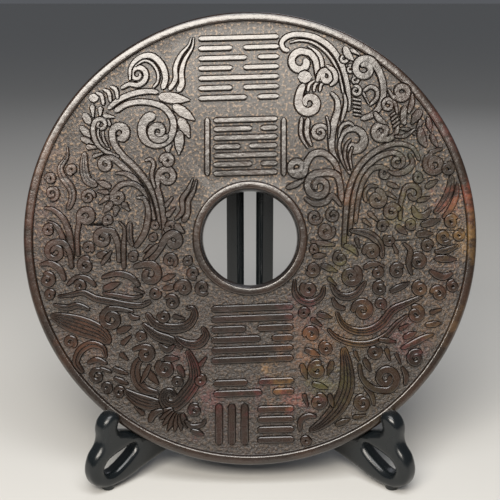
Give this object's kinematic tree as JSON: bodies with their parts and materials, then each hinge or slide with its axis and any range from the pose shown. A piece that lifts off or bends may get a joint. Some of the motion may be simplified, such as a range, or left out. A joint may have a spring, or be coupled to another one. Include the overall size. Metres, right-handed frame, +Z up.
{
  "type": "carved jade bi disc on a stand",
  "caption": "Large round jade disc with a central hole and a carved face, leaning in a crossed stand with hooked front feet.",
  "frame": {"origin": "middle of the footprint, on the table", "axes": "+Z up, the carved face looks towards -Y and leans back, +X to the viewer's right"},
  "size_m": [0.3, 0.1792, 0.3068],
  "materials": {
    "jade": "polished",
    "black_plastic": "gloss"
  },
  "bodies": {
    "root": {"bi_disc": "jade", "stand_leaf_left": "black_plastic", "stand_leaf_right": "black_plastic"}
  },
  "joints": []
}
